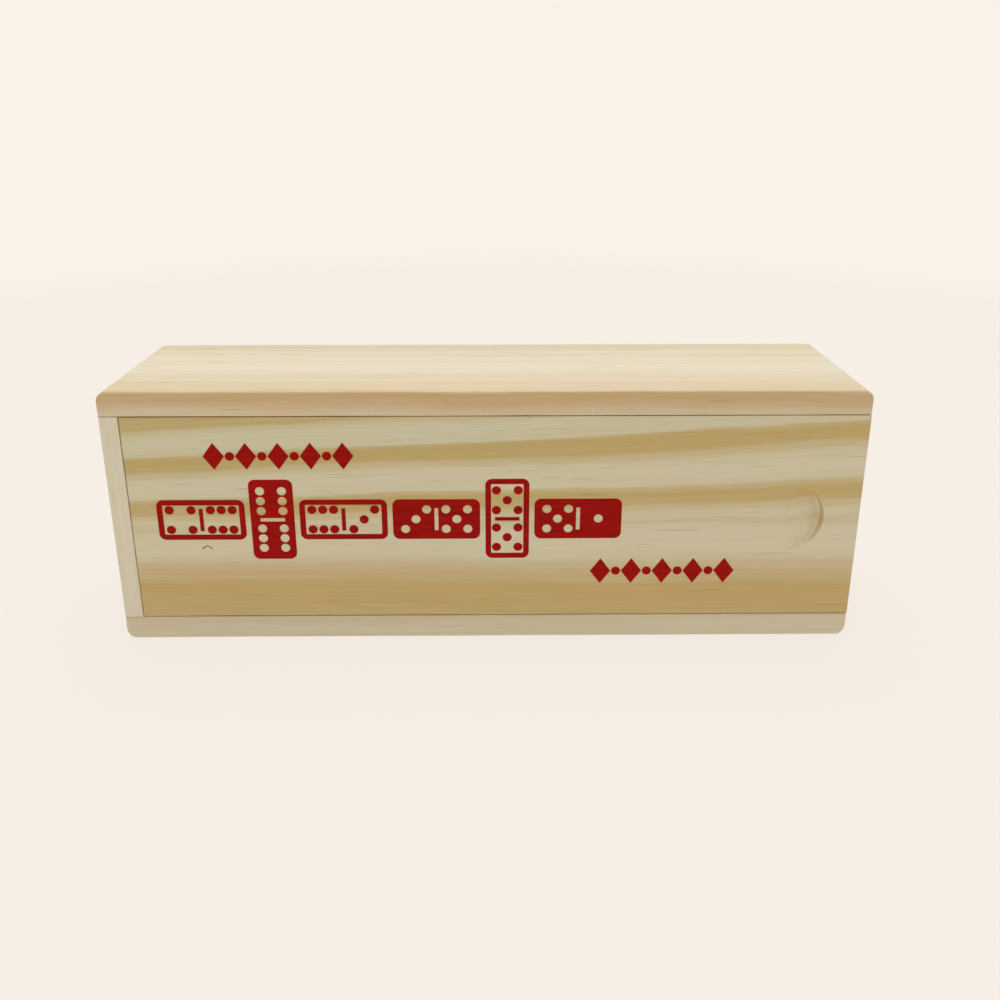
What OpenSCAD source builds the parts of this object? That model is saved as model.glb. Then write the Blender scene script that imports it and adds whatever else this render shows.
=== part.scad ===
// Wooden storage box for a set of dominoes, with a lid that slides in grooves.
// It stands on its lower long side board, with the lid at the front.
// The origin is the middle of the underside. +X runs to the end where the lid slides out,
// -Y is the way the lid faces, and +Z is up.

/* [Box] */
// Length of the box, from its closed end to the end where the lid slides out
box_length = 180; // [150:1:260]
// Height of the box as it stands, across the lid
box_height = 65; // [50:1:110]
// Depth of the box, from the side boards' front edges to the base panel's back
box_depth = 40; // [36:1:80]

/* [Boards] */
// Thickness of the two long side boards
side_thickness = 6; // [4.5:0.1:9]
// Thickness of the two end boards
end_thickness = 4.5; // [3.5:0.1:8]
// Thickness of the base panel
base_thickness = 4; // [3:0.1:8]
// Rounding that sanding leaves on the long outer arrises
arris_radius = 0.8; // [0.2:0.1:1.5]
// Rounding of the four outer corners, seen square to the lid
corner_radius = 3; // [0.4:0.1:3]

/* [Grooves] */
// Wood in front of the groove, up to the side boards' front edges
lip_thickness = 2.8; // [2:0.1:5]
// Depth of the groove in each side board
side_groove_depth = 3; // [1.5:0.1:3.5]
// Depth of the groove in the closed end board
end_groove_depth = 2; // [1:0.1:2.5]

/* [Lid] */
// Thickness of the lid's tongue, which runs in the grooves
tongue_thickness = 2.6; // [1.8:0.1:5]
// How far the lid's face lies behind the side boards' front edges
lid_recess = 0.2; // [0:0.05:1]
// Play between the tongue and each wall of its groove
tongue_play = 0.2; // [0.1:0.05:0.4]
// Play between the lid's edges and the boards beside them
edge_play = 0.2; // [0.15:0.05:0.5]

/* [Thumb notch] */
// Radius of the half-moon notch in the lid
notch_radius = 9; // [6:0.5:12]
// Depth of the notch at its round edge
notch_depth = 2; // [1:0.1:3]
// Wood between the notch's round edge and the lid's free end
notch_margin = 9; // [5:0.5:25]

/* [Brads and pins] */
// Brads along each long side of the base panel
brads_per_side = 4; // [2:1:8]
// Brads along each end of the base panel
brads_per_end = 1; // [1:1:3]
// Distance of the outer brads from the box's ends
brad_margin = 10; // [8:1:30]
// Diameter of a brad's shank
brad_diameter = 1; // [0.8:0.1:1.4]
// Length of a brad, with its head
brad_length = 14; // [8:1:18]
// Diameter of a brad's head
brad_head_diameter = 2.2; // [1.8:0.1:3]
// Thickness of a brad's head
brad_head_thickness = 0.5; // [0.3:0.1:1]
// How far a brad's head lies below the base panel's back
brad_set = 0.2; // [0:0.1:0.6]
// Headless pins at each of the four corners
pins_per_corner = 2; // [1:1:3]
// Diameter of a corner pin
pin_diameter = 0.8; // [0.6:0.1:1.2]
// Length of a corner pin
pin_length = 16; // [10:1:18]
// Depth of a pin's outer end below the side board's face, under filler
pin_set = 1; // [0.5:0.1:2]
// Distance of the outer pins from the groove and from the base panel
pin_margin = 6; // [3:0.5:8]
// Radial play of the brads and pins in their holes
nail_play = 0.02; // [0.01:0.01:0.05]

/* [Hidden] */
$fn = 64;
// A cut starts this far outside the face that it opens
overcut = 1;

// Outer planes of the box
closed_x = -box_length / 2;
open_x = box_length / 2;
front_y = -box_depth / 2;
back_y = box_depth / 2;

// Planes inside the frame of side and end boards
frame_back_y = back_y - base_thickness;
closed_inner_x = closed_x + end_thickness;
open_inner_x = open_x - end_thickness;
lower_inner_z = side_thickness;
upper_inner_z = box_height - side_thickness;
middle_z = box_height / 2;

// Groove for the lid's tongue, cut from the inner faces of three boards
groove_front_y = front_y + lip_thickness;
groove_width = tongue_thickness + 2 * tongue_play;
groove_back_y = groove_front_y + groove_width;
groove_end_x = closed_inner_x - end_groove_depth;

// Lid: a face layer between the lips, and behind it a layer with the tongue
lid_face_y = front_y + lid_recess;
tongue_front_y = groove_front_y + tongue_play;
tongue_back_y = tongue_front_y + tongue_thickness;
face_start_x = closed_inner_x + edge_play;
face_low_z = lower_inner_z + edge_play;
face_high_z = upper_inner_z - edge_play;
tongue_start_x = groove_end_x + edge_play;
tongue_reach = side_groove_depth;

// Tilt of the notch's floor, which rises from the round edge to the lid's face
notch_tilt = asin(notch_depth / notch_radius);
notch_x = open_x - notch_margin - notch_radius * cos(notch_tilt);

// Centre lines of the boards' thickness, where brads and pins go in
end_centres_x = [closed_x + end_thickness / 2, open_x - end_thickness / 2];
side_centres_z = [side_thickness / 2, box_height - side_thickness / 2];

// Places shared out evenly between two limits, or the middle when there is one
function spread(count, low, high) = count == 1
    ? [(low + high) / 2]
    : [for (i = [0 : count - 1]) low + (high - low) * i / (count - 1)];

side_brads_x = spread(brads_per_side, closed_x + brad_margin, open_x - brad_margin);
end_brads_z = brads_per_end == 1
    ? [middle_z]
    : spread(brads_per_end, lower_inner_z + brad_margin, upper_inner_z - brad_margin);
pins_y = spread(pins_per_corner, groove_back_y + pin_margin, frame_back_y - pin_margin);
brad_places = concat(
    [for (x = side_brads_x, z = side_centres_z) [x, z]],
    [for (x = end_centres_x, z = end_brads_z) [x, z]]
);

// Block between two opposite corners
module block(low, high) {
    translate(low) cube(high - low);
}

// Rectangle with round corners, centred on the origin
module rounded_rectangle(width, height, radius) {
    square([width - 2 * radius, height], center = true);
    square([width, height - 2 * radius], center = true);
    for (x = [-1, 1], y = [-1, 1])
        translate([x * (width / 2 - radius), y * (height / 2 - radius)])
            circle(r = radius);
}

// The whole box's outside, as sanding leaves it after the boards are joined
module sanded_outside() {
    translate([0, 0, middle_z]) intersection() {
        linear_extrude(box_height, center = true)
            rounded_rectangle(box_length, box_depth, arris_radius);
        rotate([90, 0, 0]) linear_extrude(box_depth, center = true)
            rounded_rectangle(box_length, box_height, corner_radius);
        rotate([90, 0, 90]) linear_extrude(box_length, center = true)
            rounded_rectangle(box_depth, box_height, arris_radius);
    }
}

// One brad at the origin, its head's top at y = 0 and its shank along -Y
module brad(play = 0, head_room = 0) {
    rotate([90, 0, 0]) {
        translate([0, 0, -head_room])
            cylinder(d = brad_head_diameter + 2 * play, h = brad_head_thickness + head_room);
        translate([0, 0, brad_head_thickness])
            cylinder(d = brad_diameter + 2 * play, h = brad_length - brad_head_thickness);
    }
}

// Every brad that holds the base panel on the frame
module all_brads(play = 0, head_room = 0) {
    for (place = brad_places)
        translate([place[0], back_y - brad_set, place[1]])
            brad(play, head_room);
}

// Every pin that joins a side board to an end board
module all_pins(play = 0) {
    for (x = end_centres_x, y = pins_y) {
        translate([x, y, pin_set])
            cylinder(d = pin_diameter + 2 * play, h = pin_length);
        translate([x, y, box_height - pin_set - pin_length])
            cylinder(d = pin_diameter + 2 * play, h = pin_length);
    }
}

// The holes that the brads and pins go into
module nail_holes() {
    all_brads(nail_play, brad_set + overcut);
    all_pins(nail_play);
}

// The space that the grooves leave for the lid's tongue, open at the far end
module groove_space() {
    block(
        [groove_end_x, groove_front_y, lower_inner_z - side_groove_depth],
        [open_x + overcut, groove_back_y, upper_inner_z + side_groove_depth]
    );
}

// A board is what lies between two corners, less its holes, inside the sanded outside
module board(low, high) {
    difference() {
        intersection() {
            block(low, high);
            sanded_outside();
        }
        groove_space();
        nail_holes();
    }
}

module lower_side_board() {
    color("burlywood") board(
        [closed_x, front_y, 0],
        [open_x, frame_back_y, lower_inner_z]
    );
}

module upper_side_board() {
    color("burlywood") board(
        [closed_x, front_y, upper_inner_z],
        [open_x, frame_back_y, box_height]
    );
}

module closed_end_board() {
    color("tan") board(
        [closed_x, front_y, lower_inner_z],
        [closed_inner_x, frame_back_y, upper_inner_z]
    );
}

// The lid slides out over this board, so it is lower than the other end
module open_end_board() {
    color("tan") board(
        [open_inner_x, groove_back_y, lower_inner_z],
        [open_x, frame_back_y, upper_inner_z]
    );
}

module base_panel() {
    color("wheat") board(
        [closed_x, frame_back_y, 0],
        [open_x, back_y, box_height]
    );
}

// Half-moon for the thumb, with its floor tilted down to the round edge
module thumb_notch() {
    translate([notch_x, lid_face_y, middle_z])
        rotate([90, 0, notch_tilt])
            cylinder(r = notch_radius, h = notch_depth + overcut);
}

module sliding_lid() {
    color("navajowhite") difference() {
        intersection() {
            union() {
                block(
                    [face_start_x, lid_face_y, face_low_z],
                    [open_x, tongue_front_y, face_high_z]
                );
                block(
                    [tongue_start_x, tongue_front_y, face_low_z - tongue_reach],
                    [open_x, tongue_back_y, face_high_z + tongue_reach]
                );
            }
            sanded_outside();
        }
        thumb_notch();
    }
}

module base_brads() {
    color("silver") all_brads();
}

module corner_pins() {
    color("silver") all_pins();
}

lower_side_board();
upper_side_board();
closed_end_board();
open_end_board();
base_panel();
sliding_lid();
base_brads();
corner_pins();
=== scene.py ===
"""Wooden domino box with a sliding lid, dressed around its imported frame.

The boards are planed pine, glued and nailed, and sanded together once the box is made.
"""

import math

import bpy
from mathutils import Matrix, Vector


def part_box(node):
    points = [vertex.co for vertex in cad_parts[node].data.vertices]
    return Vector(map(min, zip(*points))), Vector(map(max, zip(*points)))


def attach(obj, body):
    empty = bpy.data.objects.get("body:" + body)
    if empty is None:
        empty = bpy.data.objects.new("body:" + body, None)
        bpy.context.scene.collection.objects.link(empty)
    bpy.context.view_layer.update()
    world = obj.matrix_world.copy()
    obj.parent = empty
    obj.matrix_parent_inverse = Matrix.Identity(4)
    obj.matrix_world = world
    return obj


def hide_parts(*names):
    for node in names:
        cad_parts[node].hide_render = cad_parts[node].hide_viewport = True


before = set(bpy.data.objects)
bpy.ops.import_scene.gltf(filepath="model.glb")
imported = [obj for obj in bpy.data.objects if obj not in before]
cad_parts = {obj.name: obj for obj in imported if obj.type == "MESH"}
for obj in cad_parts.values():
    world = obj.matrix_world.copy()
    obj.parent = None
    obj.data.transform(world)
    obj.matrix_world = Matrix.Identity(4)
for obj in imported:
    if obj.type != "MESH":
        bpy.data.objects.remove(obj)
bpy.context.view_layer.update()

bl_info = {
    "name": "Domino box with a sliding lid",
    "version": (1, 0, 0),
    "blender": (4, 5, 0),
    "location": "3D View > Sidebar > Domino Box",
    "description": "Models the boards, brads and print of a wooden domino box around its frame",
    "category": "Object",
}

MM = 0.001

# Places that the frame gives: outer planes, and the planes where boards meet
LOWER_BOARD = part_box("lower_side_board")
UPPER_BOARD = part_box("upper_side_board")
CLOSED_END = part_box("closed_end_board")
OPEN_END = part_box("open_end_board")
BASE_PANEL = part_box("base_panel")
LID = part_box("sliding_lid")
CLOSED_X = BASE_PANEL[0].x
OPEN_X = BASE_PANEL[1].x
FRONT_Y = LOWER_BOARD[0].y
BACK_Y = BASE_PANEL[1].y
TOP_Z = BASE_PANEL[1].z
MIDDLE_Z = TOP_Z / 2


def linear(code):
    """The linear red, green and blue of an sRGB hex colour."""
    values = [int(code[i : i + 2], 16) / 255 for i in (1, 3, 5)]
    return tuple(v / 12.92 if v <= 0.04045 else ((v + 0.055) / 1.055) ** 2.4 for v in values)


# --- Sizes and colours that a user would change ---


def length(name, description, millimetres):
    """A length property, its default given in millimetres."""
    return bpy.props.FloatProperty(
        name=name, description=description, default=millimetres * MM, min=0.0, precision=5, unit="LENGTH"
    )


def colour(name, description, code):
    """A colour property, its default given as an sRGB hex value."""
    return bpy.props.FloatVectorProperty(
        name=name, description=description, default=linear(code), min=0.0, max=1.0, subtype="COLOR"
    )


class DominoBoxSizes(bpy.types.PropertyGroup):
    """Sizes of the joints, edges, brads and print."""

    corner_radius: length("Corner radius", "Rounding of the four outer corners", 2.4)
    arris_radius: length("Arris radius", "Rounding of the long outer arrises", 0.5)
    eased_edge: length("Eased edge", "Rounding that a pass of sandpaper leaves beside the lid", 0.2)
    hairline: length("Hairline", "Rounding at glued seams, which shows them as fine lines", 0.1)
    lip: length("Lip", "Wood in front of the groove", 2.8)
    tongue: length("Tongue", "Thickness of the lid's tongue", 2.6)
    tongue_play: length("Tongue play", "Play between the tongue and each wall of its groove", 0.2)
    edge_play: length("Edge play", "Play between the lid's edges and the boards", 0.2)
    side_groove: length("Side groove", "Depth of the groove in a side board", 3.0)
    end_groove: length("End groove", "Depth of the groove in the closed end", 2.0)
    notch_radius: length("Notch radius", "Radius of the half-moon thumb notch", 9.0)
    notch_depth: length("Notch depth", "Depth of the thumb notch at its round edge", 2.0)
    notch_margin: length("Notch margin", "Wood between the notch and the lid's free end", 9.0)
    nick_length: length("Nick length", "Length of each stroke of the small nick in the lid", 1.5)
    nick_width: length("Nick width", "Width of its strokes", 0.35)
    sanding_depth: length("Sanding depth", "How unevenly the sanded surfaces run", 0.12)
    sanding_width: length("Sanding width", "Width of the dips that sanding leaves", 16.0)
    sanding_step: length("Sanding step", "Distance between the cross cuts that follow the dips", 9.0)
    brad_margin: length("Brad margin", "Distance of the outer brads from the ends", 10.0)
    brad_shank: length("Brad shank", "Diameter of a brad's shank", 1.0)
    brad_length: length("Brad length", "Length of a brad, with its head", 14.0)
    brad_head: length("Brad head", "Diameter of a brad's head", 2.2)
    brad_head_thickness: length("Brad head thickness", "Thickness of a brad's head", 0.5)
    brad_set: length("Brad set", "How far a brad's head lies below the surface", 0.2)
    brads_per_side: bpy.props.IntProperty(
        name="Brads per side", description="Brads along each long side", default=4, min=2, max=8
    )


class DominoBoxPrint(bpy.types.PropertyGroup):
    """Sizes of the red print on the lid: a chain of dominoes between two rows of lozenges."""

    ink_film: length("Ink film", "Thickness of the ink, drawn thicker than a real film", 0.05)
    tile_long: length("Tile length", "Long side of a printed domino", 21.0)
    tile_short: length("Tile width", "Short side of a printed domino", 10.5)
    tile_gap: length("Tile gap", "Space between two printed dominoes", 1.3)
    tile_corner: length("Tile corner", "Corner radius of a printed domino", 1.6)
    chain_margin: length("Chain margin", "Distance from the closed end to the chain", 11.0)
    stroke: length("Stroke", "Width of the printed outlines", 1.35)
    pip: length("Pip", "Diameter of a printed pip", 2.2)
    pip_step: length("Pip step", "Distance between the pips' rows", 2.6)
    lozenge_wide: length("Lozenge width", "Width of a printed lozenge", 5.0)
    lozenge_high: length("Lozenge height", "Height of a printed lozenge", 6.8)
    lozenge_step: length("Lozenge step", "Distance between two printed lozenges", 7.6)


class DominoBoxColours(bpy.types.PropertyGroup):
    """Colours of the wood, the ink, the steel and the stage."""

    pale_side: colour("Pale side", "Earlywood of the side boards", "#F4E8CE")
    warm_side: colour("Warm side", "Latewood of the side boards", "#DAB982")
    pale_lid: colour("Pale lid", "Earlywood of the lid", "#EEE3C3")
    warm_lid: colour("Warm lid", "Latewood of the lid", "#D7B873")
    pale_end: colour("Pale end", "Earlywood of the end boards", "#F5ECD2")
    warm_end: colour("Warm end", "Latewood of the end boards", "#DFC79E")
    pale_base: colour("Pale base", "Earlywood of the base panel", "#EFE0C4")
    warm_base: colour("Warm base", "Latewood of the base panel", "#DABC88")
    ink: colour("Ink", "Red printing ink", "#AC0D05")
    steel: colour("Steel", "Drawn steel wire", "#B9B6AF")
    floor: colour("Floor", "Pale floor and backdrop", "#FDF5EC")


# --- Working on meshes ---


def deselect():
    """Nothing is selected, and the mode is object mode."""
    if bpy.context.object and bpy.context.object.mode != "OBJECT":
        bpy.ops.object.mode_set(mode="OBJECT")
    bpy.ops.object.select_all(action="DESELECT")


def activate(piece):
    """Only this piece is selected, and it is the active one."""
    deselect()
    piece.select_set(True)
    bpy.context.view_layer.objects.active = piece


def settle(name):
    """Names the new object, and puts its place and size into its mesh."""
    piece = bpy.context.object
    bpy.ops.object.transform_apply(location=True, rotation=True, scale=True)
    piece.name = name
    piece.data.name = name
    return piece


def add_block(name, low, high):
    """A block between two opposite corners."""
    deselect()
    low, high = Vector(low), Vector(high)
    bpy.ops.mesh.primitive_cube_add(size=1, location=(low + high) / 2, scale=high - low)
    return settle(name)


def add_modifier(piece, kind, **settings):
    """Adds a modifier with its settings, and applies it."""
    activate(piece)
    bpy.ops.object.modifier_add(type=kind)
    modifier = piece.modifiers[-1]
    for key, value in settings.items():
        setattr(modifier, key, value)
    bpy.ops.object.modifier_apply(modifier=modifier.name)


def cut(piece, cutter):
    """Cuts the cutter's shape out of the piece, and removes the cutter."""
    add_modifier(piece, "BOOLEAN", operation="DIFFERENCE", solver="EXACT", object=cutter)
    bpy.data.objects.remove(cutter)


def join(parts):
    """Makes one object of several."""
    activate(parts[0])
    for part in parts[1:]:
        part.select_set(True)
    bpy.ops.object.join()
    return bpy.context.object


def select_elements(piece, elements, test, mode):
    """Selects the vertices, edges or faces that pass a test, and enters edit mode."""
    activate(piece)
    bpy.ops.object.mode_set(mode="EDIT")
    bpy.ops.mesh.select_mode(type=mode)
    bpy.ops.mesh.select_all(action="DESELECT")
    bpy.ops.object.mode_set(mode="OBJECT")
    for element in getattr(piece.data, elements):
        element.select = test(element)
    bpy.ops.object.mode_set(mode="EDIT")


def near(a, b):
    """Two places on the same plane."""
    return abs(a - b) < 0.01 * MM


def on_outline(sizes, point):
    """A place on the box's outline, which is a rectangle with round corners as the lid faces you."""
    past_x = max(abs(point.x) - (OPEN_X - sizes.corner_radius), 0.0)
    past_z = max(abs(point.z - MIDDLE_Z) - (MIDDLE_Z - sizes.corner_radius), 0.0)
    return abs(math.hypot(past_x, past_z) - sizes.corner_radius) < 0.05 * MM


def bevel_edges(piece, width, segments, radius_of):
    """Rounds each edge by the radius that radius_of gives for its two ends, which is at most the width."""
    attributes = piece.data.attributes
    weights = attributes.get("bevel_weight_edge") or attributes.new("bevel_weight_edge", "FLOAT", "EDGE")
    points = piece.data.vertices
    for edge, weight in zip(piece.data.edges, weights.data):
        a, b = (points[i].co for i in edge.vertices)
        weight.value = radius_of(a, b) / width
    add_modifier(piece, "BEVEL", limit_method="WEIGHT", width=width, segments=segments)


def round_edges(piece, sizes, beside_lid):
    """Rounds the box's outer corners, then the arrises round its front and back and the edges
    beside the lid, and takes the sharpness off all other edges.
    """

    def corner(a, b):
        lengthwise = near(a.x, b.x) and near(abs(a.x), OPEN_X)
        upright = near(a.z, b.z) and (near(a.z, 0.0) or near(a.z, TOP_Z))
        return sizes.corner_radius if lengthwise and upright else 0.0

    def arris(a, b):
        flat = any(near(a.y, y) and near(b.y, y) for y in (FRONT_Y, BACK_Y))
        if flat and all(on_outline(sizes, p) for p in (a, b, (a + b) / 2)):
            return sizes.arris_radius
        return sizes.eased_edge if beside_lid(a, b) else 0.0

    bevel_edges(piece, sizes.corner_radius, 6, corner)
    bevel_edges(piece, sizes.arris_radius, 4, arris)
    add_modifier(
        piece, "BEVEL", limit_method="ANGLE", angle_limit=math.radians(50), width=sizes.hairline, segments=1
    )


def sand(piece, sizes):
    """Cuts the board across at regular steps, and lets its surface dip and rise a little there.

    The dips depend only on the place, so boards that meet stay flush.
    """
    low, high = min(v.co.x for v in piece.data.vertices), max(v.co.x for v in piece.data.vertices)
    for i in range(1, int((high - low) / sizes.sanding_step)):
        select_elements(piece, "polygons", lambda f: True, "FACE")
        bpy.ops.mesh.bisect(plane_co=(low + i * sizes.sanding_step, 0, 0), plane_no=(1, 0, 0))
        bpy.ops.object.mode_set(mode="OBJECT")
    dips = bpy.data.textures.get("sanding_dips") or bpy.data.textures.new("sanding_dips", "CLOUDS")
    dips.noise_scale = sizes.sanding_width
    dips.noise_depth = 1
    add_modifier(
        piece, "DISPLACE", texture=dips, texture_coords="LOCAL", strength=sizes.sanding_depth, mid_level=0.5
    )


def smooth(piece):
    """Smooth shading that stays flat on the wide faces."""
    activate(piece)
    bpy.ops.object.shade_smooth_by_angle(angle=math.radians(50))
    add_modifier(piece, "WEIGHTED_NORMAL", mode="FACE_AREA", weight=80, keep_sharp=True)


def finish_board(piece, node, material, sizes):
    """A finished board stands for its CAD node, in its own wood."""
    sand(piece, sizes)
    smooth(piece)
    piece.data.materials.clear()
    piece.data.materials.append(material)
    body = "lid" if node == "sliding_lid" else "case"
    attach(piece, body)
    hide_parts(node)
    return piece


# --- Materials ---


def add_node(tree, kind, inputs=None, **settings):
    """Adds a node with its settings, and sets or links its inputs.

    A node given for an input stands for the first output that it shows.
    """
    made = tree.nodes.new(kind)
    for key, value in settings.items():
        setattr(made, key, value)
    for key, value in (inputs or {}).items():
        if isinstance(value, bpy.types.Node):
            value = next(output for output in value.outputs if output.enabled)
        if isinstance(value, bpy.types.NodeSocket):
            tree.links.new(value, made.inputs[key])
        else:
            made.inputs[key].default_value = value
    return made


def new_material(name):
    """An empty node material and its tree."""
    material = bpy.data.materials.new(name)
    material.use_nodes = True
    material.node_tree.nodes.clear()
    return material, material.node_tree


# Patterns in planed pine, in millimetres. A pair is the length along the grain and the width
# across it.
SLOW_WAVE = (70.0, 16.0)
SLOW_WAVE_HEIGHT = 2.8
QUICK_WAVE = (20.0, 5.0)
QUICK_WAVE_HEIGHT = 1.4
STREAK_LENGTH = 60.0
STREAK_DEPTH = 0.9
STREAK_WIDTH = 12.0
FIBRE = (7.0, 0.22)
CAST_DRIFT = (55.0, 9.0)
RESIN_CANAL = (16.0, 0.3)
END_PORE = (0.5, 0.35)
FIBRE_RELIEF = 0.06
# How far streaks and fibres move the wood between its pale and its warm colour
STREAK_SHARE = 0.65
FIBRE_SHARE = 0.25
# How fast the cast turns from pink to green outwards over the rings, and from where on
CAST_GROWTH = 0.8
CAST_START = 0.4
PINK_CAST = (1.02, 0.99, 0.97, 1.0)
GREEN_CAST = (0.96, 1.01, 0.985, 1.0)
# Canals show where their pattern passes the first value, and are full from the second on
CANAL_START = 0.69
CANAL_FULL = 0.80
CANAL_STRENGTH = 0.45
CANAL_BROWN = "#8A6238"
# End grain starts to show where the surface turns this far towards the grain, and fully shows
# where it turns further, in tints between these two
END_START = 0.55
END_FULL = 0.95
END_DARK = (0.70, 0.62, 0.50, 1.0)
END_PALE = (0.92, 0.86, 0.76, 1.0)
EARLYWOOD_ROUGHNESS = 0.66
LATEWOOD_ROUGHNESS = 0.56
PINE_IOR = 1.5


def planed_pine(
    name, pale, warm, grain_axis, pith, ring_start, rings, slope=0.0, taper=0.0, greenish=0.0
):
    """Planed and sanded pine, cut from a log whose pith is a line along the grain.

    Pine grows pale soft earlywood and warm hard latewood each year. rings lists how warm the
    wood is, from 0 to 1, at each distance in millimetres outwards from ring_start; some boards'
    lists also carry painted shade and painted light as warm and pale bands. They climb by slope
    along the grain, and taper brings them closer together towards one end. greenish moves the
    wood's cast, from 0 to 1. Sanded bare pine is matt, with IOR about 1.5, and its fibres leave
    fine streaks along the grain.
    """
    material, tree = new_material(name)
    coordinates = add_node(tree, "ShaderNodeTexCoord")
    place = add_node(
        tree, "ShaderNodeVectorMath", {0: coordinates.outputs["Object"], "Scale": 1 / MM},
        operation="SCALE",
    )
    axes = add_node(tree, "ShaderNodeSeparateXYZ", {0: place})
    along = axes.outputs[grain_axis]
    across = axes.outputs["Z" if grain_axis == "X" else "X"]
    grain = add_node(tree, "ShaderNodeCombineXYZ", {"X": along, "Y": axes.outputs["Y"], "Z": across})

    def grain_pattern(long, short, detail=2.0, seed=0.0):
        """A random pattern that is stretched along the grain, its sizes in millimetres."""
        stretched = add_node(
            tree, "ShaderNodeVectorMath",
            {0: grain, 1: (1 / long, 1 / short, 1 / short), 2: (seed, seed * 1.7, -seed)},
            operation="MULTIPLY_ADD",
        )
        return add_node(
            tree, "ShaderNodeTexNoise", {"Vector": stretched, "Scale": 1.0, "Detail": detail}
        )

    # Distance from the pith, which climbs and tapers along the board
    from_pith = add_node(
        tree, "ShaderNodeVectorMath", {0: grain, 1: (0.0, -pith[0], -pith[1])}, operation="ADD"
    )
    flat = add_node(
        tree, "ShaderNodeVectorMath", {0: from_pith, 1: (0.0, 1.0, 1.0)}, operation="MULTIPLY"
    )
    radius = add_node(tree, "ShaderNodeVectorMath", {0: flat}, operation="LENGTH")
    depth = add_node(tree, "ShaderNodeMath", {0: radius, 1: ring_start}, operation="SUBTRACT")
    narrowing = add_node(
        tree, "ShaderNodeMath", {0: along, 1: taper, 2: 1.0}, operation="MULTIPLY_ADD"
    )
    climb = add_node(tree, "ShaderNodeMath", {0: along, 1: slope}, operation="MULTIPLY")
    leaning = add_node(
        tree, "ShaderNodeMath", {0: depth, 1: narrowing, 2: climb}, operation="MULTIPLY_ADD"
    )

    # The slow and quick waves of a real log, which swing half their height to either side
    slow = add_node(
        tree, "ShaderNodeMath",
        {0: grain_pattern(*SLOW_WAVE, detail=1.0, seed=3.0), 1: SLOW_WAVE_HEIGHT, 2: leaning},
        operation="MULTIPLY_ADD",
    )
    quick = add_node(
        tree, "ShaderNodeMath",
        {0: grain_pattern(*QUICK_WAVE, detail=2.0, seed=9.0), 1: QUICK_WAVE_HEIGHT, 2: slow},
        operation="MULTIPLY_ADD",
    )
    ring_place = add_node(
        tree, "ShaderNodeMath", {0: quick, 1: (SLOW_WAVE_HEIGHT + QUICK_WAVE_HEIGHT) / 2},
        operation="SUBTRACT",
    )

    # Broad bands of warm and pale wood, which in some boards also carry painted shade and painted light
    ring_span = rings[-1][0]
    share = add_node(tree, "ShaderNodeMath", {0: ring_place, 1: ring_span}, operation="DIVIDE")
    band = add_node(tree, "ShaderNodeValToRGB", {0: share})
    band.color_ramp.interpolation = "EASE"
    stops = band.color_ramp.elements
    stops[0].color = (rings[0][1],) * 3 + (1.0,)
    stops[1].color = (rings[-1][1],) * 3 + (1.0,)
    for distance, warmth in rings[1:-1]:
        stops.new(distance / ring_span).color = (warmth,) * 3 + (1.0,)

    # Fine streaks that follow the rings, and single fibres between them
    streak_place = add_node(tree, "ShaderNodeCombineXYZ", {"X": along, "Y": ring_place, "Z": across})
    stretched = add_node(
        tree, "ShaderNodeVectorMath",
        {0: streak_place, 1: (1 / STREAK_LENGTH, 1 / STREAK_DEPTH, 1 / STREAK_WIDTH)},
        operation="MULTIPLY",
    )
    streaks = add_node(
        tree, "ShaderNodeTexNoise", {"Vector": stretched, "Scale": 1.0, "Detail": 4.0, "Roughness": 0.65}
    )
    fibres = grain_pattern(*FIBRE, detail=2.0, seed=5.0)
    streaked = add_node(
        tree, "ShaderNodeMath", {0: streaks, 1: STREAK_SHARE, 2: band}, operation="MULTIPLY_ADD"
    )
    fibrous = add_node(
        tree, "ShaderNodeMath", {0: fibres, 1: FIBRE_SHARE, 2: streaked}, operation="MULTIPLY_ADD"
    )
    warmth = add_node(
        tree, "ShaderNodeMath", {0: fibrous, 1: (STREAK_SHARE + FIBRE_SHARE) / 2},
        operation="SUBTRACT", use_clamp=True,
    )
    wood = add_node(
        tree, "ShaderNodeMix", {0: warmth, 6: (*pale, 1.0), 7: (*warm, 1.0)}, data_type="RGBA"
    )

    # The inner rings have a pinker cast and the outer ones a greener one, with slow drifts between
    outward = add_node(
        tree, "ShaderNodeMath",
        {0: share, 1: CAST_GROWTH, 2: grain_pattern(*CAST_DRIFT, detail=1.0, seed=21.0)},
        operation="MULTIPLY_ADD",
    )
    greenness = add_node(
        tree, "ShaderNodeMath", {0: outward, 1: CAST_START - greenish},
        operation="SUBTRACT", use_clamp=True,
    )
    cast = add_node(
        tree, "ShaderNodeMix", {0: greenness, 6: PINK_CAST, 7: GREEN_CAST}, data_type="RGBA"
    )
    wood = add_node(
        tree, "ShaderNodeMix", {0: 1.0, 6: wood, 7: cast}, data_type="RGBA", blend_type="MULTIPLY"
    )

    # Resin canals: short fine brown dashes along the grain
    canal_pattern = grain_pattern(*RESIN_CANAL, detail=1.0, seed=31.0)
    canals = add_node(
        tree, "ShaderNodeMapRange",
        {0: canal_pattern, "From Min": CANAL_START, "From Max": CANAL_FULL},
    )
    strength = add_node(tree, "ShaderNodeMath", {0: canals, 1: CANAL_STRENGTH}, operation="MULTIPLY")
    wood = add_node(
        tree, "ShaderNodeMix", {0: strength, 6: wood, 7: (*linear(CANAL_BROWN), 1.0)},
        data_type="RGBA",
    )

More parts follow.
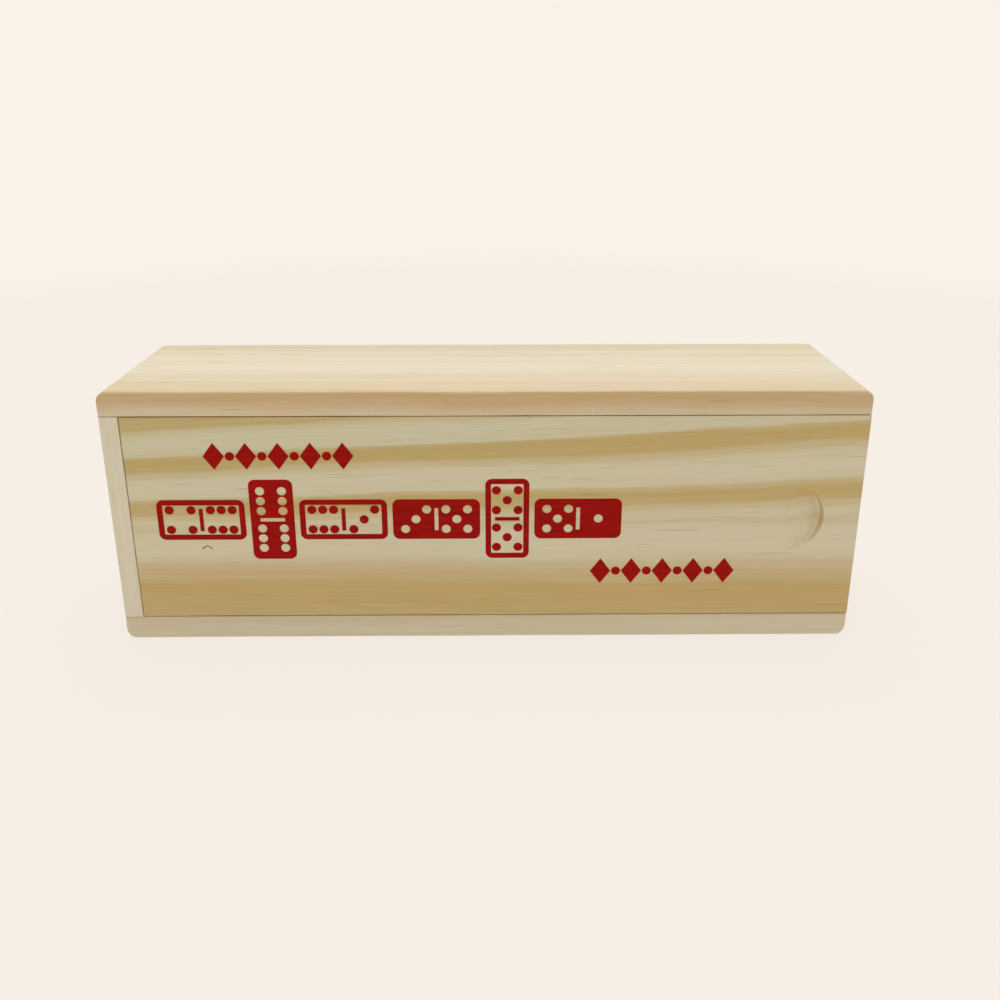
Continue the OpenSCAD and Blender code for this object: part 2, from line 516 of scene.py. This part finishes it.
    # End grain drinks light: it is darker and browner where the surface cuts the fibres across
    normal = add_node(tree, "ShaderNodeSeparateXYZ", {0: coordinates.outputs["Normal"]})
    facing = normal.outputs[grain_axis]
    squareness = add_node(tree, "ShaderNodeMath", {0: facing}, operation="ABSOLUTE")
    end = add_node(
        tree, "ShaderNodeMapRange", {0: squareness, "From Min": END_START, "From Max": END_FULL},
        interpolation_type="SMOOTHSTEP",
    )
    end_tint = add_node(
        tree, "ShaderNodeMix",
        {0: grain_pattern(*END_PORE, detail=2.0, seed=2.0), 6: END_DARK, 7: END_PALE},
        data_type="RGBA",
    )
    wood = add_node(
        tree, "ShaderNodeMix", {0: end, 6: wood, 7: end_tint}, data_type="RGBA", blend_type="MULTIPLY"
    )

    roughness = add_node(
        tree, "ShaderNodeMapRange",
        {0: warmth, "To Min": EARLYWOOD_ROUGHNESS, "To Max": LATEWOOD_ROUGHNESS},
    )
    height = add_node(tree, "ShaderNodeMath", {0: fibres, 1: 0.5, 2: streaks}, operation="MULTIPLY_ADD")
    bump = add_node(
        tree, "ShaderNodeBump", {"Strength": 0.35, "Distance": FIBRE_RELIEF * MM, "Height": height}
    )
    surface = add_node(
        tree, "ShaderNodeBsdfPrincipled",
        {"Base Color": wood, "Roughness": roughness, "IOR": PINE_IOR, "Normal": bump},
    )
    add_node(tree, "ShaderNodeOutputMaterial", {0: surface})
    return material


# The fibres that show through the ink, in millimetres along x, y and z, and how high they stand
INK_FIBRE = (12.0, 3.0, 0.5)
INK_RELIEF = 0.05
# How bright the red is where the ink lies thin and where it lies thick
INK_THIN = 0.8
INK_THICK = 1.2


def printing_ink(colour_value):
    """Matt red screen-printing ink on bare wood: the fibres below leave faint streaks in it."""
    material, tree = new_material("matt_printing_ink")
    coordinates = add_node(tree, "ShaderNodeTexCoord")
    stretched = add_node(
        tree, "ShaderNodeVectorMath",
        {0: coordinates.outputs["Object"], 1: tuple(1 / (size * MM) for size in INK_FIBRE)},
        operation="MULTIPLY",
    )
    grain = add_node(tree, "ShaderNodeTexNoise", {"Vector": stretched, "Scale": 1.0, "Detail": 3.0})
    cover = add_node(
        tree, "ShaderNodeMapRange",
        {0: grain, "From Min": 0.3, "From Max": 0.7, "To Min": INK_THIN, "To Max": INK_THICK},
    )
    ink = add_node(
        tree, "ShaderNodeMix", {0: 1.0, 6: (*colour_value, 1.0), 7: cover},
        data_type="RGBA", blend_type="MULTIPLY",
    )
    bump = add_node(
        tree, "ShaderNodeBump", {"Strength": 0.3, "Distance": INK_RELIEF * MM, "Height": grain}
    )
    surface = add_node(
        tree, "ShaderNodeBsdfPrincipled",
        {"Base Color": ink, "Roughness": 0.7, "IOR": 1.5, "Specular IOR Level": 0.1, "Normal": bump},
    )
    add_node(tree, "ShaderNodeOutputMaterial", {0: surface})
    return material


# Spacing of the die lines in millimetres, and the roughness of the wire between and on them
DIE_LINE_SPACING, DIE_ROUGHNESS = 0.3, (0.28, 0.52)


def drawn_steel(colour_value):
    """Bright drawn steel wire: metallic, with die lines that leave it half rough."""
    material, tree = new_material("drawn_steel_wire")
    coordinates = add_node(tree, "ShaderNodeTexCoord")
    scratch = add_node(
        tree, "ShaderNodeTexNoise",
        {"Vector": coordinates.outputs["Object"], "Scale": 1 / (DIE_LINE_SPACING * MM), "Detail": 3.0},
    )
    smoothest, roughest = DIE_ROUGHNESS
    rough = add_node(
        tree, "ShaderNodeMapRange", {0: scratch, "To Min": smoothest, "To Max": roughest}
    )
    tone = add_node(
        tree, "ShaderNodeMix",
        {0: scratch, 6: (*[c * 0.8 for c in colour_value], 1.0), 7: (*colour_value, 1.0)},
        data_type="RGBA",
    )
    surface = add_node(
        tree, "ShaderNodeBsdfPrincipled", {"Base Color": tone, "Metallic": 1.0, "Roughness": rough}
    )
    add_node(tree, "ShaderNodeOutputMaterial", {0: surface})
    return material


# --- The pieces, each with its own operator ---

# How warm the wood of each board is, by the distance in millimetres from its first ring. Both side
# boards turn warm wood to the front, and the rings behind it are alike. The warm band on the upper
# board's front edge is grain and also painted shade, darker than its top as the light leaves it;
# the lower board's front runs paler towards its bottom, painted light where little light reaches.
LOWER_FRONT_GRAIN_AND_LIGHT = [(0, 0.3), (2.6, 0.7), (4.6, 0.48), (6.3, 0.33), (8.4, 0.22)]
UPPER_FRONT_GRAIN_AND_SHADE = [(0, 0.4), (1.2, 0.5), (2.4, 0.85), (4.1, 0.95), (4.9, 0.55), (5.8, 0.4), (8.4, 0.4)]
REAR_RINGS = [
    (11, 0.2), (13, 0.3), (15, 0.15), (19, 0.0), (22, 0.15), (24, 0.05),
    (27, 0.3), (29, 0.15), (31, 0.4), (33, 0.2), (37, 0.45), (40, 0.1),
]
END_RINGS = [
    (0, 0.1), (7.2, 0.08), (10, 0.45), (11.5, 0.15), (15, 0.6), (16.5, 0.2), (21, 0.5), (22.5, 0.1),
    (27, 0.45), (28.5, 0.15), (33, 0.4), (40, 0.1),
]
BASE_RINGS = [
    (0, 0.3), (5, 0.6), (7, 0.2), (15, 0.7), (17, 0.25), (24, 0.5), (27, 0.15), (34, 0.8), (36, 0.3),
    (45, 0.55), (52, 0.45), (60, 0.3),
]
# Its last stops, from 58.6 mm on, make a warm band along the lid's top edge under the upper board: grain
# and painted shade along that seam.
LID_GRAIN_AND_SEAM_SHADE = [
    (0, 0.5), (5.8, 0.78), (8, 0.88), (11, 0.9), (14, 0.95), (17, 0.7), (20, 0.5), (22.3, 0.12),
    (24, 0.02), (28, 0.0), (30.5, 0.3), (32.5, 0.15), (34.2, 0.45), (35.6, 0.85), (37.8, 0.95),
    (39.3, 0.65), (40.1, 0.1), (43, 0.0), (45.3, 0.12), (46.8, 0.5), (48.6, 0.95), (50.8, 1.0),
    (51.8, 0.8), (52.5, 0.18), (56.5, 0.12), (58.6, 0.35), (60, 0.85), (64, 0.9),
]


def groove_walls(sizes):
    """The planes of the groove's front and back walls, which the lid's tongue runs between."""
    front = FRONT_Y + sizes.lip
    return front, front + sizes.tongue + 2 * sizes.tongue_play


class DOMINO_OT_side_boards(bpy.types.Operator):
    """Model the two long side boards, with the groove that the lid runs in"""

    bl_idname = "domino.side_boards"
    bl_label = "Side boards"

    def execute(self, context):
        sizes = context.scene.domino_box_sizes
        shades = context.scene.domino_box_colours

        def beside_lid(a, b):
            """The front edge of a board that the lid lies along."""
            inner = LOWER_BOARD[1].z, UPPER_BOARD[0].z
            at_front = near(a.y, FRONT_Y) and near(b.y, FRONT_Y)
            return at_front and any(near(a.z, z) and near(b.z, z) for z in inner)

        for node, box, inner_z, way, pith, ring_start, front_grain_and_shading, greenish in (
            (
                "lower_side_board", LOWER_BOARD, LOWER_BOARD[1].z, -1,
                (-150.0, 125.0), 170.8, LOWER_FRONT_GRAIN_AND_LIGHT, 0.6,
            ),
            (
                "upper_side_board", UPPER_BOARD, UPPER_BOARD[0].z, 1,
                (-150.0, -60.0), 176.0, UPPER_FRONT_GRAIN_AND_SHADE, 0.0,
            ),
        ):
            board = add_block(node + "_pine", *box)
            groove_front, groove_back = groove_walls(sizes)
            groove_start = CLOSED_END[1].x - sizes.end_groove
            bottom = inner_z + way * sizes.side_groove
            clear = inner_z - way * sizes.side_groove
            cut(board, add_block(
                "groove",
                (groove_start, groove_front, min(bottom, clear)),
                (OPEN_X + sizes.lip, groove_back, max(bottom, clear)),
            ))
            round_edges(board, sizes, beside_lid)
            wood = planed_pine(
                node + "_planed_pine", shades.pale_side, shades.warm_side, "X", pith, ring_start,
                front_grain_and_shading + REAR_RINGS, slope=0.005, greenish=greenish,
            )
            finish_board(board, node, wood, sizes)
        return {"FINISHED"}


class DOMINO_OT_end_boards(bpy.types.Operator):
    """Model the two end boards; the lid stops in a groove in the closed one"""

    bl_idname = "domino.end_boards"
    bl_label = "End boards"

    def execute(self, context):
        sizes = context.scene.domino_box_sizes
        shades = context.scene.domino_box_colours
        wood = planed_pine(
            "planed_end_pine", shades.pale_end, shades.warm_end, "Z", pith=(-95.0, 0.0),
            ring_start=110.0, rings=END_RINGS, slope=0.02, greenish=0.3,
        )

        def beside_lid(a, b):
            """The front edge that the lid butts against."""
            return all(near(p.y, FRONT_Y) and near(p.x, CLOSED_END[1].x) for p in (a, b))

        closed = add_block("closed_end_board_pine", *CLOSED_END)
        groove_front, groove_back = groove_walls(sizes)
        cut(closed, add_block(
            "groove",
            (CLOSED_END[1].x - sizes.end_groove, groove_front, CLOSED_END[0].z - sizes.lip),
            (CLOSED_END[1].x + sizes.lip, groove_back, CLOSED_END[1].z + sizes.lip),
        ))
        round_edges(closed, sizes, beside_lid)
        finish_board(closed, "closed_end_board", wood, sizes)

        lower = add_block("open_end_board_pine", *OPEN_END)
        round_edges(lower, sizes, beside_lid)
        finish_board(lower, "open_end_board", wood, sizes)
        return {"FINISHED"}


def brad_places(sizes):
    """Where the brads go in, as x and z: along both long sides, and one in each end."""
    first, last = CLOSED_X + sizes.brad_margin, OPEN_X - sizes.brad_margin
    step = (last - first) / (sizes.brads_per_side - 1)
    lower_z = LOWER_BOARD[1].z / 2
    long_sides = [
        (first + i * step, z) for i in range(sizes.brads_per_side) for z in (lower_z, TOP_Z - lower_z)
    ]
    ends = [((board[0].x + board[1].x) / 2, MIDDLE_Z) for board in (CLOSED_END, OPEN_END)]
    return long_sides + ends


def repeat(piece, places):
    """Joins a piece that is modelled at the first place with a copy of it at each other place."""
    (first_x, first_z), *others = places
    pieces = [piece]
    for x, z in others:
        activate(piece)
        bpy.ops.object.duplicate()
        bpy.context.object.location = (x - first_x, 0.0, z - first_z)
        pieces.append(settle(piece.name))
    return join(pieces)


def add_rod(name, diameter, low, high, x, z, vertices=24):
    """A round rod along Y, between two planes."""
    deselect()
    bpy.ops.mesh.primitive_cylinder_add(
        vertices=vertices, radius=diameter / 2, depth=high - low,
        location=(x, (low + high) / 2, z), rotation=(math.radians(90), 0, 0),
    )
    return settle(name)


# How many times as wide as the brad's head its dimple is, and how much of the head's thickness
# its rounded rim takes up
DIMPLE_ROOM = 1.02
HEAD_ROUNDING = 0.3


class DOMINO_OT_base_panel(bpy.types.Operator):
    """Model the base panel, with a dimple for each brad's head"""

    bl_idname = "domino.base_panel"
    bl_label = "Base panel"

    def execute(self, context):
        sizes = context.scene.domino_box_sizes
        shades = context.scene.domino_box_colours
        panel = add_block("base_panel_pine", *BASE_PANEL)
        round_edges(panel, sizes, lambda a, b: False)
        head_seat = BACK_Y - sizes.brad_set - sizes.brad_head_thickness
        places = brad_places(sizes)
        dimple_width = sizes.brad_head * DIMPLE_ROOM
        dimple = add_rod("dimple", dimple_width, head_seat, BACK_Y + sizes.brad_head, *places[0])
        cut(panel, repeat(dimple, places))
        wood = planed_pine(
            "planed_base_pine", shades.pale_base, shades.warm_base, "X", pith=(95.0, -130.0),
            ring_start=150.0, rings=BASE_RINGS, slope=-0.02,
        )
        finish_board(panel, "base_panel", wood, sizes)
        return {"FINISHED"}


class DOMINO_OT_brads(bpy.types.Operator):
    """Model the brads that hold the base panel, and give the hidden corner pins their steel"""

    bl_idname = "domino.brads"
    bl_label = "Brads and pins"

    def execute(self, context):
        sizes = context.scene.domino_box_sizes
        steel = drawn_steel(context.scene.domino_box_colours.steel)
        head_top = BACK_Y - sizes.brad_set
        neck = head_top - sizes.brad_head_thickness
        tip = head_top - sizes.brad_length
        point = tip + 2 * sizes.brad_shank
        places = brad_places(sizes)
        head = add_rod("head", sizes.brad_head, neck, head_top, *places[0])
        select_elements(head, "polygons", lambda f: f.normal.y > 0.9, "FACE")
        rounding = HEAD_ROUNDING * sizes.brad_head_thickness
        bpy.ops.mesh.bevel(offset=rounding, segments=2, affect="EDGES")
        bpy.ops.object.mode_set(mode="OBJECT")
        shank = add_rod("shank", sizes.brad_shank, point, neck, *places[0], vertices=12)
        select_elements(shank, "polygons", lambda f: f.normal.y < -0.9, "FACE")
        bpy.ops.mesh.extrude_region_move(TRANSFORM_OT_translate={"value": (0, tip - point, 0)})
        bpy.ops.mesh.merge(type="CENTER")
        bpy.ops.object.mode_set(mode="OBJECT")
        brads = repeat(join([head, shank]), places)
        brads.name = "base_brads_steel"
        bpy.ops.object.shade_smooth_by_angle(angle=math.radians(35))
        brads.data.materials.clear()
        brads.data.materials.append(steel)
        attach(brads, "case")
        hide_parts("base_brads")
        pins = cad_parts["corner_pins"]
        for slot in pins.material_slots:
            slot.material = steel
        return {"FINISHED"}


# The rounding along the notch's floor, as a share of the notch's depth
NOTCH_ROUNDING = 0.35
# Where the small nick lies, and how steep its two strokes are in degrees
NICK_FROM_END = 22.2 * MM
NICK_BELOW_MIDDLE = 7.3 * MM
NICK_ANGLE = 35


class DOMINO_OT_lid(bpy.types.Operator):
    """Model the sliding lid: a face layer, a tongue behind it and a half-moon thumb notch"""

    bl_idname = "domino.lid"
    bl_label = "Sliding lid"

    def execute(self, context):
        sizes = context.scene.domino_box_sizes
        shades = context.scene.domino_box_colours
        face_y = LID[0].y
        tongue_front = LID[1].y - sizes.tongue
        face_start = CLOSED_END[1].x + sizes.edge_play
        face_low = LOWER_BOARD[1].z + sizes.edge_play
        face_high = UPPER_BOARD[0].z - sizes.edge_play
        lid = add_block("sliding_lid_pine", (LID[0].x, tongue_front, LID[0].z), LID[1])
        for place, normal in (
            ((face_start, 0, 0), (1, 0, 0)),
            ((0, 0, face_low), (0, 0, 1)),
            ((0, 0, face_high), (0, 0, 1)),
        ):
            select_elements(lid, "polygons", lambda f: True, "FACE")
            bpy.ops.mesh.bisect(plane_co=place, plane_no=normal)
            bpy.ops.object.mode_set(mode="OBJECT")
        select_elements(
            lid, "polygons",
            lambda f: f.normal.y < -0.9 and f.center.x > face_start and face_low < f.center.z < face_high,
            "FACE",
        )
        bpy.ops.mesh.extrude_region_move(TRANSFORM_OT_translate={"value": (0, face_y - tongue_front, 0)})
        bpy.ops.mesh.select_all(action="SELECT")
        bpy.ops.mesh.dissolve_limited(angle_limit=math.radians(1))
        bpy.ops.object.mode_set(mode="OBJECT")

        tilt = math.asin(sizes.notch_depth / sizes.notch_radius)
        deselect()
        tall = 3 * sizes.notch_depth
        bpy.ops.mesh.primitive_cylinder_add(
            vertices=96, radius=sizes.notch_radius, depth=tall, location=(0, -tall / 2, 0),
            rotation=(math.radians(90), 0, 0),
        )
        cutter = settle("notch")
        select_elements(cutter, "polygons", lambda f: f.normal.y > 0.9, "FACE")
        bpy.ops.mesh.bevel(offset=NOTCH_ROUNDING * sizes.notch_depth, segments=4, affect="EDGES")
        bpy.ops.object.mode_set(mode="OBJECT")
        cutter.rotation_euler = (0, 0, tilt)
        cutter.location = (
            OPEN_X - sizes.notch_margin - sizes.notch_radius * math.cos(tilt), face_y, MIDDLE_Z
        )
        activate(cutter)
        bpy.ops.object.transform_apply(location=True, rotation=True, scale=True)
        cut(lid, cutter)
        round_edges(lid, sizes, lambda a, b: True)

        for way in (-1, 1):
            deselect()
            bpy.ops.mesh.primitive_cube_add(
                size=1, scale=(sizes.nick_length, 4 * sizes.nick_width, sizes.nick_width),
                rotation=(0, way * math.radians(NICK_ANGLE), 0),
                location=(
                    CLOSED_X + NICK_FROM_END + way * 0.4 * sizes.nick_length, face_y,
                    MIDDLE_Z - NICK_BELOW_MIDDLE,
                ),
            )
            cut(lid, settle("nick"))
        wood = planed_pine(
            "planed_lid_pine", shades.pale_lid, shades.warm_lid, "X", pith=(10.0, -200.0),
            ring_start=202.1, rings=LID_GRAIN_AND_SEAM_SHADE, slope=0.0314, taper=-0.00157,
        )
        finish_board(lid, "sliding_lid", wood, sizes)
        return {"FINISHED"}


# Places of a domino's pips in one half, in steps across and along the tile
PIPS = {
    1: [(0, 0)],
    2: [(-1, -1), (1, 1)],
    3: [(-1, -1), (0, 0), (1, 1)],
    4: [(-1, -1), (-1, 1), (1, -1), (1, 1)],
    5: [(-1, -1), (-1, 1), (1, -1), (1, 1), (0, 0)],
    6: [(-1, -1), (-1, 0), (-1, 1), (1, -1), (1, 0), (1, 1)],
}
# A chain in play: each tile's two halves, whether it lies across the chain, and whether it is
# printed solid
CHAIN = [
    (4, 6, False, False), (6, 6, True, True), (6, 3, False, False),
    (3, 5, False, True), (5, 5, True, False), (5, 1, False, True),
]
# The middles of the two rows of lozenges, along the lid and above its middle
UPPER_ROW = (-49 * MM, 16.5 * MM)
LOWER_ROW = (43 * MM, -14.2 * MM)
LOZENGES_PER_ROW = 5
PIP_SIDES = 24
LOZENGE_SIDES = 4


def flat_disc(x, z, y, width, height, vertices):
    """A flat shape with equal corners that faces the front: a pip or, with four, a lozenge."""
    deselect()
    bpy.ops.mesh.primitive_circle_add(
        vertices=vertices, radius=0.5, fill_type="NGON", location=(x, y, z),
        rotation=(math.radians(90), 0, 0),
    )
    bpy.ops.transform.resize(value=(width, 1, height))
    return settle("ink")


def flat_bar(x, z, y, width, height):
    """A flat rectangle that faces the front."""
    deselect()
    bpy.ops.mesh.primitive_plane_add(size=1, location=(x, y, z), rotation=(math.radians(90), 0, 0))
    bpy.ops.transform.resize(value=(width, 1, height))
    return settle("ink")


def thicken(piece, thickness):
    """Gives a flat shape a thickness, half of it on each side."""
    add_modifier(piece, "SOLIDIFY", thickness=thickness, offset=0.0)


def printed_tile(sizes, x, z, y, halves, upright, solid):
    """A printed domino: an outline with its bar and pips, or a solid tile that leaves them bare."""
    width, height = sizes.tile_long, sizes.tile_short
    bar_wide, bar_high = sizes.stroke * 0.7, sizes.tile_short - 3.4 * sizes.stroke
    if upright:
        width, height, bar_wide, bar_high = height, width, bar_high, bar_wide
    marks = [flat_bar(x, z, y, bar_wide, bar_high)]
    for side, count in zip((-1, 1), halves):
        for across, along in PIPS[count]:
            lengthwise = side * (sizes.tile_long - sizes.stroke) / 4 + along * sizes.pip_step
            sideways = across * sizes.pip_step
            shift = (sideways, -lengthwise) if upright else (lengthwise, sideways)
            marks.append(
                flat_disc(x + shift[0], z + shift[1], y, sizes.pip, sizes.pip, PIP_SIDES)
            )
    marks = join(marks)
    tile = flat_bar(x, z, y, width, height)
    select_elements(tile, "vertices", lambda v: True, "VERT")
    bpy.ops.mesh.bevel(offset=sizes.tile_corner, segments=6, affect="VERTICES")
    if not solid:
        bpy.ops.mesh.select_all(action="SELECT")
        bpy.ops.mesh.inset(thickness=sizes.stroke)
        bpy.ops.mesh.delete(type="FACE")
    bpy.ops.object.mode_set(mode="OBJECT")
    thicken(tile, 2 * sizes.ink_film)
    thicken(marks, (4 if solid else 2) * sizes.ink_film)
    if solid:
        cut(tile, marks)
        return tile
    return join([tile, marks])


def lozenge_row(sizes, x, z, y, count):
    """A row of printed lozenges, with a pip between each two."""
    pip = sizes.pip, sizes.pip, PIP_SIDES
    lozenge = sizes.lozenge_wide, sizes.lozenge_high, LOZENGE_SIDES
    parts = []
    for i in range(2 * count - 1):
        place = x + (i - count + 1) * sizes.lozenge_step / 2
        parts.append(flat_disc(place, z, y, *(pip if i % 2 else lozenge)))
    row = join(parts)
    thicken(row, 2 * sizes.ink_film)
    return row


def finish_ink(name, printed, ink):
    """A finished print is in ink, and rides on the lid."""
    printed.name = name
    printed.data.name = name
    printed.data.materials.clear()
    printed.data.materials.append(ink)
    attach(printed, "lid")


class DOMINO_OT_lid_print(bpy.types.Operator):
    """Print the lid: a chain of dominoes, with a row of lozenges above and below it"""

    bl_idname = "domino.lid_print"
    bl_label = "Lid print"

    def execute(self, context):
        sizes = context.scene.domino_box_print
        ink = printing_ink(context.scene.domino_box_colours.ink)
        face_y = LID[0].y
        x = CLOSED_X + sizes.chain_margin
        chain = []
        for first, second, upright, solid in CHAIN:
            width = sizes.tile_short if upright else sizes.tile_long
            middle = x + width / 2
            chain.append(
                printed_tile(sizes, middle, MIDDLE_Z, face_y, (first, second), upright, solid)
            )
            x += width + sizes.tile_gap
        finish_ink("printed_domino_chain", join(chain), ink)
        for name, (row_x, above_middle) in (
            ("printed_upper_lozenges", UPPER_ROW), ("printed_lower_lozenges", LOWER_ROW),
        ):
            row = lozenge_row(sizes, row_x, MIDDLE_Z + above_middle, face_y, LOZENGES_PER_ROW)
            finish_ink(name, row, ink)
        return {"FINISHED"}


# The floor's radius in metres, and the distances where its glow starts to grow and where the floor
# glows fully, as the backdrop does
FLOOR_RADIUS = 3.0
GLOW_START = 0.12
GLOW_FULL = 0.6
# The share of that glow beside the box, as the camera sees it and for the light that it gives
CAMERA_GLOW = 0.8
LEAST_GLOW = 0.4
BACKDROP_GLOW = 0.97
WORLD_LIGHT = 0.35
# Each lamp's name, place in metres, width in metres and power in watts
LAMPS = (
    ("overhead", (0.0, 0.15, 1.3), 1.2, 10.6),
    ("front_left", (-0.7, -1.0, 0.7), 0.8, 0.5),
)
# The camera stands at its place in metres, and looks down by its tilt and aside by its turn, both
# in degrees. Its lens and sensor are in millimetres.
CAMERA_PLACE = (0.0016, -0.2073, 0.1296)
CAMERA_TILT = 16.33
CAMERA_TURN = -0.49
CAMERA_LENS = 30.95
CAMERA_SENSOR = 36.0
CAMERA_SHIFT = -0.149
CAMERA_NEAR = 0.01


class DOMINO_OT_stage(bpy.types.Operator):
    """Set up the floor, the lamps, the world and the camera"""

    bl_idname = "domino.stage"
    bl_label = "Stage"

    def execute(self, context):
        sizes = context.scene.domino_box_sizes
        shade = context.scene.domino_box_colours.floor
        deselect()
        bpy.ops.mesh.primitive_circle_add(
            vertices=96, radius=FLOOR_RADIUS, fill_type="NGON",
            location=(0, 0, -sizes.sanding_depth / 2),
        )
        floor = settle("floor")
        material, tree = new_material("matt_paper_floor")
        coordinates = add_node(tree, "ShaderNodeTexCoord")
        distance = add_node(
            tree, "ShaderNodeVectorMath", {0: coordinates.outputs["Object"]}, operation="LENGTH"
        )
        far = add_node(
            tree, "ShaderNodeMapRange", {0: distance, "From Min": GLOW_START, "From Max": GLOW_FULL},
            interpolation_type="SMOOTHSTEP",
        )
        rays = add_node(tree, "ShaderNodeLightPath")
        seen = add_node(
            tree, "ShaderNodeMath", {0: rays.outputs["Is Camera Ray"], 1: CAMERA_GLOW},
            operation="MULTIPLY",
        )
        # The floor glows in every ray, so near the box it lights the box's lower front as a fill lamp
        # would: painted light from a floor that is no lamp.
        at_least = add_node(tree, "ShaderNodeMath", {0: seen, 1: LEAST_GLOW}, operation="MAXIMUM")
        share = add_node(tree, "ShaderNodeMath", {0: far, 1: at_least}, operation="MAXIMUM")
        matt = add_node(tree, "ShaderNodeBsdfDiffuse", {0: (*shade, 1.0)})
        glow = add_node(tree, "ShaderNodeEmission", {0: (*shade, 1.0), 1: BACKDROP_GLOW})
        blend = add_node(tree, "ShaderNodeMixShader", {0: share, 1: matt, 2: glow})
        add_node(tree, "ShaderNodeOutputMaterial", {0: blend})
        floor.data.materials.append(material)

        world = bpy.data.worlds.new("studio")
        context.scene.world = world
        world.use_nodes = True
        sky = world.node_tree
        sky.nodes.clear()
        rays = add_node(sky, "ShaderNodeLightPath")
        mirrored = add_node(
            sky, "ShaderNodeMath",
            {0: rays.outputs["Is Glossy Ray"], 1: rays.outputs["Is Transmission Ray"]},
            operation="MAXIMUM",
        )
        seen = add_node(
            sky, "ShaderNodeMath", {0: rays.outputs["Is Camera Ray"], 1: mirrored},
            operation="MAXIMUM",
        )
        backdrop = add_node(sky, "ShaderNodeBackground", {0: (*shade, 1.0), 1: BACKDROP_GLOW})
        light = add_node(sky, "ShaderNodeBackground", {0: (1.0, 1.0, 1.0, 1.0), 1: WORLD_LIGHT})
        chosen = add_node(sky, "ShaderNodeMixShader", {0: seen, 1: light, 2: backdrop})
        add_node(sky, "ShaderNodeOutputWorld", {0: chosen})

        middle = Vector((0, 0, MIDDLE_Z))
        for name, place, size, power in LAMPS:
            lamp = bpy.data.lights.new(name, "AREA")
            lamp.size = size
            lamp.energy = power
            holder = bpy.data.objects.new(name, lamp)
            context.scene.collection.objects.link(holder)
            holder.location = place
            holder.rotation_euler = (middle - Vector(place)).to_track_quat("-Z", "Y").to_euler()

        camera = bpy.data.cameras.new("camera")
        holder = bpy.data.objects.new("camera", camera)
        context.scene.collection.objects.link(holder)
        context.scene.camera = holder
        camera.lens = CAMERA_LENS
        camera.sensor_width = CAMERA_SENSOR
        camera.shift_y = CAMERA_SHIFT
        camera.clip_start = CAMERA_NEAR
        holder.location = CAMERA_PLACE
        holder.rotation_euler = (math.radians(90 - CAMERA_TILT), 0.0, math.radians(CAMERA_TURN))
        context.scene.view_settings.view_transform = "Standard"
        return {"FINISHED"}


class DOMINO_PT_box(bpy.types.Panel):
    """The pieces of the domino box"""

    bl_idname = "DOMINO_PT_box"
    bl_label = "Domino Box"
    bl_space_type = "VIEW_3D"
    bl_region_type = "UI"
    bl_category = "Domino Box"

    def draw(self, context):
        for operator in STEPS:
            self.layout.operator(operator.bl_idname)


STEPS = (
    DOMINO_OT_side_boards, DOMINO_OT_end_boards, DOMINO_OT_base_panel, DOMINO_OT_brads,
    DOMINO_OT_lid, DOMINO_OT_lid_print, DOMINO_OT_stage,
)
GROUPS = {
    "domino_box_sizes": DominoBoxSizes,
    "domino_box_print": DominoBoxPrint,
    "domino_box_colours": DominoBoxColours,
}


def register():
    """Registers the property groups, the operators and the panel."""
    for name, group in GROUPS.items():
        bpy.utils.register_class(group)
        setattr(bpy.types.Scene, name, bpy.props.PointerProperty(type=group))
    for item in (*STEPS, DOMINO_PT_box):
        bpy.utils.register_class(item)


def unregister():
    """Takes back what register did."""
    for item in (DOMINO_PT_box, *reversed(STEPS)):
        bpy.utils.unregister_class(item)
    for name, group in GROUPS.items():
        delattr(bpy.types.Scene, name)
        bpy.utils.unregister_class(group)


def main():
    """Makes every piece in order."""
    register()
    for step in STEPS:
        group, name = step.bl_idname.split(".")
        getattr(getattr(bpy.ops, group), name)()


if __name__ == "__main__":
    main()
